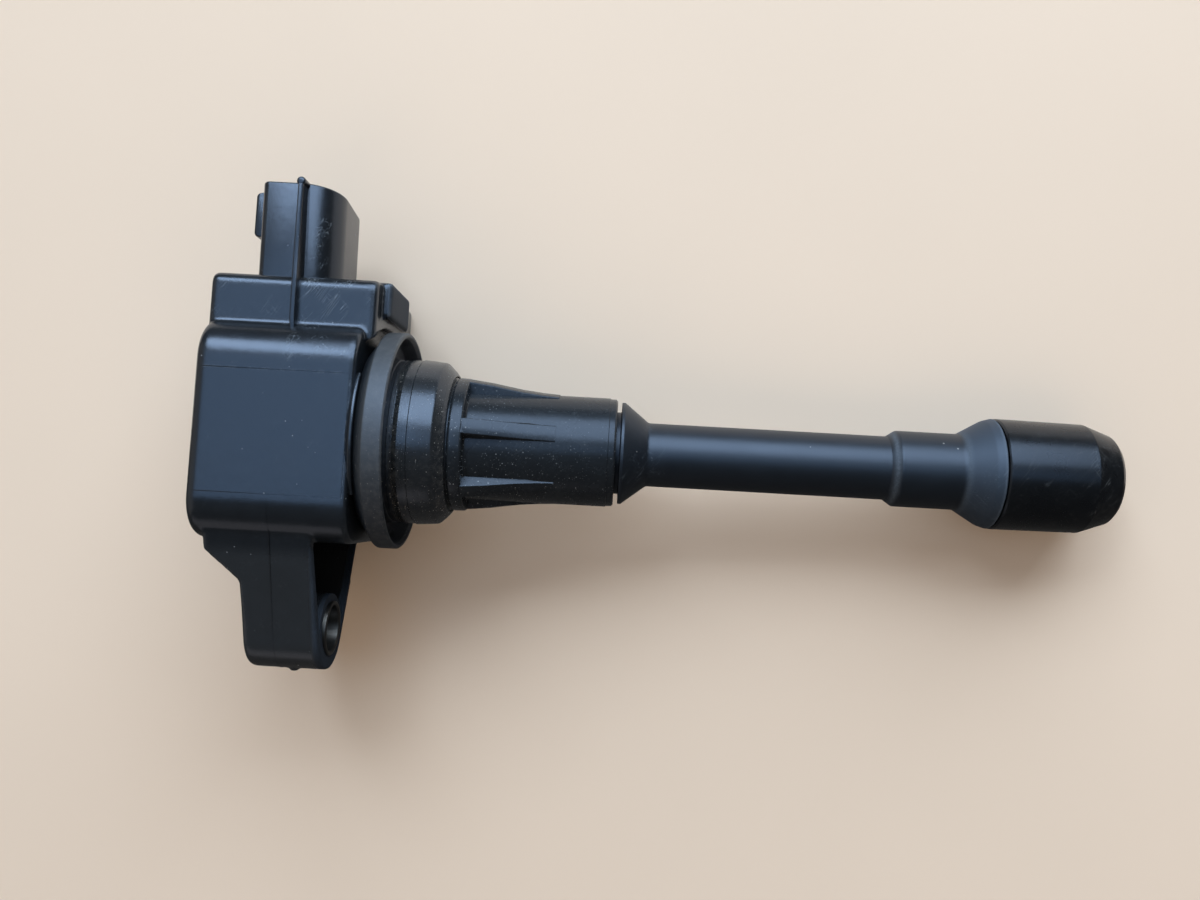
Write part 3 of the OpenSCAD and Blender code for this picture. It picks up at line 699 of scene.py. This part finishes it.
def black_plastic(name, level, gloss, shine, wear, dust, dull=None):
    """Black plastic of a grey level. The functions wear and dust give a share at each place, and dull
    gives the roughness that is added there."""
    paint = Paint(name, Specular_Tint=SKY_TINT, Specular_IOR_Level=gloss)
    wear, dust = wear(paint), dust(paint)
    mottle = paint.cloud(5, 3.0)
    base = paint.mix(mottle, grey(level * 0.8, 1.2), grey(level * 1.25, 1.25))
    base = paint.mix(wear * 0.6, base, SCUFFED)
    base = paint.mix(dust, base, DUSTY)
    rough = mottle * 0.08 + (shine - 0.04) + wear * 0.1 + dust * 0.1
    if dull:
        rough = rough + dull(paint)
    grain = paint.cloud(0.25, 1.0) * 0.25 + paint.cloud(1.8, 2.0) * 0.75 + wear * 0.25
    return paint.finish(base, rough, height=grain, depth=0.03)


def scuffs(paint):
    """Fine lines in three directions, which show only in patches."""
    lines = (paint.scratches(0.45, 9, 47) + paint.scratches(0.5, 12, 58)
             + paint.scratches(0.6, 10, -46) * 0.5)
    return lines * paint.cloud(4, 2.0).ramp(0.4, 0.65)


def few_specks(paint):
    """Dust grains, far apart."""
    return paint.specks(1.4, 0.16, 0.35) * 0.5


def fine_dots(paint):
    """Close dust in two sizes."""
    return paint.specks(0.6, 0.13, 0.5) * 0.8 + paint.specks(0.35, 0.08, 0.6) * 0.7


def edge_drop(paint):
    """The number that mark_edges gave: above 0 on an edge, below 0 in a crease."""
    return paint.add("ShaderNodeAttribute", {"attribute_name": "edge_wear"}, {}, "Fac")


# %% Wear and dust of the case
def case_wear(paint):
    """Worn edges and scuffs. The frame line on the front is worn less, and not at its lower end."""
    front = paint.z.ramp(14.8, 15.8)
    less_on_front = 1 - front + front * paint.y.ramp(-8, -6) * 0.45
    edge = (edge_drop(paint).ramp(0.04, 0.22) * paint.cloud(1.5, 4.0).ramp(0.42, 0.62) * less_on_front
            * paint.y.ramp(-20.5, -19.0))
    stage = paint.y.hump(18.5, 28.0, 0.8) * paint.z.ramp(9, 11.5)
    beside = paint.x.hump(-23.0, -14.0, 1.5) * 0.75 + 0.15
    crown = paint.y.hump(12.5, 17.0, 1.0) * paint.z.ramp(10, 13) * paint.x.hump(-24, -14, 3.0)
    return edge * 0.6 + scuffs(paint) * (stage * beside * 0.8 + crown * 0.55 + 0.04)


def case_dust(paint):
    """Dust in the head's creases, a film over the ear, and a few specks."""
    crease = (edge_drop(paint).ramp(-0.03, -0.12) * paint.cloud(1.5, 3.0).ramp(0.4, 0.7)
              * paint.y.ramp(-19.5, -18.0))
    ear = paint.y.ramp(-19.5, -23) * paint.x.ramp(-17.4, -18.2) * 0.04
    return crease * 0.2 + few_specks(paint) + ear


def case_dull(paint):
    """The ear's right face and the lug's side are matt."""
    ear_face = paint.x.ramp(-18.2, -17.4) * paint.y.ramp(-19.5, -21.0)
    return (ear_face + paint.x.ramp(-8.4, -7.9)) * 0.5


case_paint = black_plastic("case_black_plastic", 0.009, GLOSS, 0.25, case_wear, case_dust,
                           case_dull)


# %% Wear and dust of the connector and the tower
def connector_wear(paint):
    """A worn rim at the mouth, and scuffs beside the long rib."""
    rim = ((paint.y - paint.z * math.tan(MOUTH_LEAN)).ramp(43.7, 44.2)
           * paint.cloud(0.7, 3.0).ramp(0.35, 0.7))
    beside = paint.x.hump(-22.0, -19.5, 1.0) * paint.z.ramp(3, 7) * paint.y.ramp(44, 36)
    return rim * 0.3 + scuffs(paint) * (beside * 0.5 + 0.06)


def tower_wear(paint):
    """Hardly any scuffs."""
    return scuffs(paint) * 0.06


def tower_dust(paint):
    """A thin film with dots, thicker near the stop ring and on the lower side."""
    near = (paint.x.ramp(30, 4) * 0.4 + paint.y.ramp(6, -6) * 0.3
            + paint.x.hump(2, 7.5, 0.8) * 0.3 + 0.15)
    film = paint.cloud(0.8, 5.0).ramp(0.5, 0.9) * 0.06
    return near * (film + fine_dots(paint))


# The connector's grey level is lower than the case's: painted shade that darkens its sides.
connector_paint = black_plastic("connector_black_plastic", 0.007, GLOSS, 0.25, connector_wear,
                                few_specks)
tower_paint = black_plastic("tower_black_plastic", 0.013, 0.42, 0.27, tower_wear, tower_dust)

# %% [markdown]
# ### Seal, stem and boot
# The seal is rubber under pale dust, thickest in its grooves and on its lower side. Its rim is greyer,
# but the grey fades out towards its lower side, which is painted shade, and the hollow behind the lip
# is painted almost black as painted shade. The stem is smoother, with chalky rings where its cones
# begin, and its bell is greyer and duller. The boot is satin rubber with fine scratches, most of them
# near its mouth.

# %% Seal rubber
paint = Paint("seal_dusty_rubber", Specular_Tint=SKY_TINT, Specular_IOR_Level=GLOSS)
flange = paint.x.ramp(-4.6, -5.2)
round_by = paint.y * paint.y + paint.z * paint.z
rim = flange * round_by.ramp(345, 370)
# The hollow behind the lip is darkened to almost black: painted shade.
painted_hollow_shade = flange * round_by.ramp(345, 325)
groove = paint.x.hump(-5.2, -3.2, 0.5) + paint.x.ramp(2.4, 3.6)
film = paint.cloud(0.9, 6.0).ramp(0.35, 0.85)
lower = paint.y.ramp(2, -9)
dots = fine_dots(paint)
dust = (film * (rim * 0.04 + groove * 0.07 + lower * 0.03 + 0.01)
        + dots * (groove * 0.4 + lower * 0.35 - rim * 0.15 + 0.25))
base = paint.mix(paint.cloud(4, 2.0), grey(0.01, 1.15), grey(0.016, 1.15))
# The rim's own greyer tone fades out towards its lower side, and that darker lower side is painted
# shade.
base = paint.mix(rim * paint.y.ramp(-20, -2) * 0.5, base, grey(0.05, 1.06))
base = paint.mix(painted_hollow_shade * 0.8, base, grey(0.002))
base = paint.mix(dust, base, (0.33, 0.32, 0.3, 1))
seal_paint = paint.finish(base, flange * 0.3 + dust * 0.25 + 0.25, depth=0.04,
                          height=paint.cloud(0.3, 2.0) * 0.5 + dots * 0.1)

# %% Stem plastic
paint = Paint("stem_smooth_plastic", Specular_Tint=SKY_TINT, Specular_IOR_Level=GLOSS)
bell_part = paint.x.ramp(97.0, 98.5)
flakes = paint.cloud(0.3, 4.0).ramp(0.35, 0.75) * 0.5 + 0.5
chalk = (paint.x.hump(84.9, 85.5, 0.5) + paint.x.hump(97.6, 98.2, 0.6) * 0.6
         + paint.x.hump(103.1, 103.5, 0.15) * 0.5) * flakes
fine = scuffs(paint) * paint.cloud(12, 2.0).ramp(0.5, 0.65)
mottle = paint.cloud(5, 3.0)
base = paint.mix(mottle, grey(0.004, 1.3), grey(0.007, 1.35))
base = paint.mix(bell_part * 0.8, base, grey(0.027, 1.5))
base = paint.mix(chalk * 0.35 + fine * 0.2, base, grey(0.22, 1.25))
base = paint.mix(paint.specks(2.4, 0.22, 0.3) * 0.6, base, grey(0.4))
grain = paint.cloud(0.4, 1.0) * 0.2 + paint.cloud(3, 2.0) * 0.8 + chalk * 0.15
stem_paint = paint.finish(base, mottle * 0.08 + chalk * 0.2 + bell_part * 0.14 + 0.38, grain)

# %% Boot rubber
paint = Paint("boot_satin_rubber", Specular_Tint=SKY_TINT, Specular_IOR_Level=0.5)
mouth = paint.x.ramp(117, 122)
wear = scuffs(paint) * (mouth * 0.25 + 0.1)
mottle = paint.cloud(4, 3.0)
base = paint.mix(mottle, grey(0.003, 1.1), grey(0.005, 1.12))
base = paint.mix(wear * 0.6, base, grey(0.2, 1.05))
base = paint.mix(paint.specks(1.6, 0.13, 0.3) * 0.4, base, grey(0.35))
grain = paint.cloud(0.5, 1.0) * 0.2 + paint.cloud(4, 2.0) * 0.8 + wear * 0.3
boot_paint = paint.finish(base, mottle * 0.08 + wear * 0.3 + 0.24, grain)

# %% [markdown]
# ### Metals and inner pieces
# The bush, spring and terminals are bare metal, so their maps vary roughness as well as colour. The
# pieces that are sealed in resin are seldom seen, but each still has its own grain: steel sheet in
# layers, wound copper in fine lines, resin with a soft ripple.

# %% Metals
def metal(name, colour, dull, shine, grain):
    """Metal between two tones, with a grain that grain(paint) gives."""
    paint = Paint(name, Metallic=1.0)
    marks = grain(paint)
    blotch = paint.cloud(1.5, 3.0)
    base = paint.mix(blotch * 0.6 + marks * 0.4, (*colour, 1), (*(c * dull for c in colour), 1))
    return paint.finish(base, blotch * 0.15 + marks * 0.12 + shine, height=marks, depth=0.01)


def turned_marks(paint):
    return paint.cloud(0.12, 2.0, (1, 40, 40))


def drawn_marks(paint):
    return paint.cloud(0.15, 2.0, (1, 12, 1))


def sheet_layers(paint):
    return paint.cloud(0.35, 1.0, (1, 200, 200))


# The bush's steel is much darker than bare steel: painted shade for its bore.
bush_paint = metal("bush_plated_steel", (0.15, 0.145, 0.14), 0.5, 0.22, turned_marks)
spring_paint = metal("spring_drawn_steel", (0.56, 0.56, 0.55), 0.7, 0.25, drawn_marks)
blade_paint = metal("blade_tinned_brass", (0.68, 0.65, 0.58), 0.75, 0.24, drawn_marks)
post_paint = metal("post_turned_brass", (0.66, 0.48, 0.2), 0.7, 0.25, turned_marks)
core_paint = metal("core_stacked_steel", (0.42, 0.42, 0.43), 0.6, 0.35, sheet_layers)
plate_paint = metal("plate_aluminium", (0.66, 0.67, 0.68), 0.8, 0.32, drawn_marks)
copper_paint = metal("winding_enamelled_copper", (0.62, 0.26, 0.1), 0.6, 0.25,
                     lambda paint: paint.cloud(0.2, 0.0, (60, 1, 60)))


# %% Resin, magnet, bobbins and package
def plain(name, low, high, shine, size, depth):
    """A non-metal between two tones, with a bump of that size."""
    paint = Paint(name)
    blotch = paint.cloud(size, 4.0)
    return paint.finish(paint.mix(blotch, (*low, 1), (*high, 1)), blotch * 0.12 + shine,
                        height=blotch, depth=depth)


resin_paint = plain("resin_black", (0.012, 0.012, 0.013), (0.03, 0.03, 0.031), 0.22, 9, 0.3)
magnet_paint = plain("magnet_sintered", (0.10, 0.10, 0.11), (0.18, 0.18, 0.19), 0.5, 0.5, 0.03)
bobbin_paint = plain("bobbin_resin", (0.52, 0.48, 0.38), (0.64, 0.6, 0.5), 0.4, 3, 0.02)
package_paint = plain("package_black", (0.015, 0.015, 0.016), (0.035, 0.035, 0.037), 0.45, 1, 0.02)
ring_paint = plain("o_ring_rubber", (0.03, 0.02, 0.016), (0.05, 0.034, 0.026), 0.42, 1, 0.02)

# %% [markdown]
# ## Putting the pieces on their bodies
# Each new piece takes a finish, names the CAD nodes that it stands for, and rides on a CAD body, so
# that it moves with the joints. Nodes whose shape is right stay and only change their finish.

# %% Settle the new pieces
def settle(piece, finish, body, slot, *stands_for):
    """Gives a piece its finish, hides the nodes that it stands for and puts it on the body that it rides
    on. The slot is not used.
    """
    piece.data.materials.clear()
    piece.data.materials.append(finish)
    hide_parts(*stands_for)
    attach(piece, body)
    print(piece.name, "rides on", body)


settle(case, case_paint, "head", "case_plastic", "coil_case", "bolt_ear")
settle(parting, case_paint, "head", "case_plastic")
settle(connector, connector_paint, "head", "case_plastic", "connector_shroud")
settle(tower, tower_paint, "head", "case_plastic", "coil_tower")
settle(bush, bush_paint, "head", "bush_steel", "mount_bush")
settle(seal, seal_paint, "seal", "seal_rubber", "well_seal")
settle(stem, stem_paint, "stem", "stem_plastic", "stem_tube")
settle(bell, stem_paint, "stem", "stem_plastic", "stem_bell")
settle(o_ring, ring_paint, "stem", "seal_rubber", "stem_o_ring")
settle(spring, spring_paint, "stem", "spring_steel", "contact_spring")
settle(tip, spring_paint, "contact", "spring_steel", "spring_tip")
settle(boot, boot_paint, "boot", "boot_rubber", "plug_boot")
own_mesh(spring)

# %% Finish the CAD nodes that stay
KEPT = {
    "potting": resin_paint, "centre_core": core_paint, "outer_core": core_paint,
    "core_magnet": magnet_paint, "primary_bobbin": bobbin_paint, "secondary_bobbin": bobbin_paint,
    "primary_winding": copper_paint, "secondary_winding": copper_paint,
    "igniter_module": package_paint, "hv_diode": package_paint, "igniter_heat_plate": plate_paint,
    "terminal_supply": blade_paint, "terminal_ground": blade_paint, "terminal_signal": blade_paint,
    "hv_terminal": post_paint,
}
for name, finish in KEPT.items():
    nodes[name].data.materials.clear()
    nodes[name].data.materials.append(finish)
print(len(KEPT), "CAD nodes keep their shape")

# %% [markdown]
# ## Floor and light
# The coil rests on its flange, its boot and the back corner of its stage, so the floor is laid
# through those three points. Glossy black plastic mirrors what lies round it, so the floor has three
# parts: the half on the connector's side shows in reflections, and the near half, which lies in the
# coil's shadow, and the wide floor under both are kept out of them.

# %% Floor
FLOOR_LENGTH, FLOOR_DEPTH = 0.4, 0.2
touch = [Vector(p) * MM for p in ((-5.3, 0, -20.1), (119.8, 0, -10.05), (-9.6, 27.6, -18.8))]
level = (touch[1] - touch[0]).cross(touch[2] - touch[0]).normalized()
paint = Paint("floor_pale", Roughness=0.75)
floor_paint = paint.finish(
    paint.mix(paint.cloud(60, 2.0), (0.72, 0.585, 0.475, 1), (0.76, 0.615, 0.50, 1)))
lean = Vector((0, 0, 1)).rotation_difference(level)
for name, size, along, drop, glints in (
        ("floor", (FLOOR_LENGTH, FLOOR_DEPTH), FLOOR_DEPTH / 2, 0.05, True),
        ("near_floor", (FLOOR_LENGTH, FLOOR_DEPTH), -FLOOR_DEPTH / 2, 0.05, False),
        ("far_floor", (4, 4), 0, 0.15, False)):
    clear()
    bpy.ops.mesh.primitive_plane_add(
        size=1, location=touch[0] - level * drop * MM + lean @ Vector((0, along, 0)))
    floor = bpy.context.object
    floor.rotation_mode = "QUATERNION"
    floor.rotation_quaternion = lean
    floor.scale = (*size, 1)
    placed(name)
    floor.data.materials.append(floor_paint)
    floor.visible_glossy = glints
print("floor leans", round(math.degrees(level.angle(Vector((0, 0, 1)))), 1), "degrees")

# %% [markdown]
# ### Light
# A highlight is the mirror image of a lamp. Most lamps that make highlights stand close by, and their
# light would burn out the floor beside them, so they make only glints: the window with its side pane,
# the ceiling, the bright sky and the near wall. Two daylight lamps further away and two fills make
# only even light. The skylight over the head's flat front and the left wall do both. The warm lamps
# soften the shadow, as pale walls do in a room.

# %% Light
def lamp(name, place, towards, size, radiance, colour, glints=True, glow=True):
    """A flat lamp of a size in metres. Blender spreads its power over four times its area."""
    bpy.ops.object.light_add(type="AREA", location=place)
    light = bpy.context.object
    light.name = name
    light.rotation_mode = "QUATERNION"
    light.rotation_quaternion = (-Vector(towards)).to_track_quat("Z", "Y")
    light.data.shape = "RECTANGLE"
    light.data.size, light.data.size_y = size
    light.data.energy = radiance * 4 * size[0] * size[1]
    light.data.color = colour
    light.visible_glossy, light.visible_diffuse = glints, glow


COOL, BLUE = (0.76, 0.89, 1.0), (0.57, 0.78, 1.0)
WARM, PALE = (1.0, 0.82, 0.64), (1.0, 0.85, 0.75)
for name, x, width in (("window", 0.096, 0.472), ("window_side", 0.398, 0.066)):
    lamp(name, (x, 0.367, 0.409), (0, -0.76, -0.65), (width, 0.465), 4.2, COOL, glow=False)
lamp("ceiling", (0.17, 0.02, 0.56), (0, 0, -1), (0.5, 0.19), 0.8, BLUE, glow=False)
lamp("bright_sky", (-0.245, 0.39, 0.43), (0.2, -0.39, -0.43), (0.15, 0.32), 7, COOL, glow=False)
lamp("daylight", (0.31, 1.15, 0.75), (0, -0.9, -0.43), (1.43, 1.16), 5.0, COOL, glints=False)
lamp("daylight_left", (-0.61, 0.98, 1.08), (0.2, -0.39, -0.43), (0.38, 0.8), 8, COOL, glints=False)
lamp("skylight", (-0.18, 0.06, 0.5), (0.35, 0, -1), (0.25, 0.28), 1.25, BLUE)
lamp("left_wall", (-0.8, -0.05, 0.42), (0.85, 0.05, -0.42), (1.2, 0.9), 0.3, WARM)
lamp("near_wall", (-0.25, -0.6, 0.09), (0.25, 0.6, -0.05), (0.5, 0.22), 0.35, PALE, glow=False)
lamp("right_fill", (0.7, -0.1, 0.6), (-0.7, 0.1, -0.6), (0.9, 0.9), 0.25, WARM, glints=False)
lamp("near_fill", (0.1, -0.6, 0.6), (-0.05, 0.6, -0.6), (1.2, 0.6), 0.7, WARM, glints=False)
world = bpy.data.worlds.new("room")
world.use_nodes = True
background = world.node_tree.nodes["Background"].inputs
background["Color"].default_value = (1.0, 0.95, 0.9, 1)
background["Strength"].default_value = 0.07
bpy.context.scene.world = world
bpy.context.scene.view_settings.view_transform = "Standard"

# %% [markdown]
# ## Finish
# The visible pieces have to stay close to the CAD box.

# %% Finish
clear()
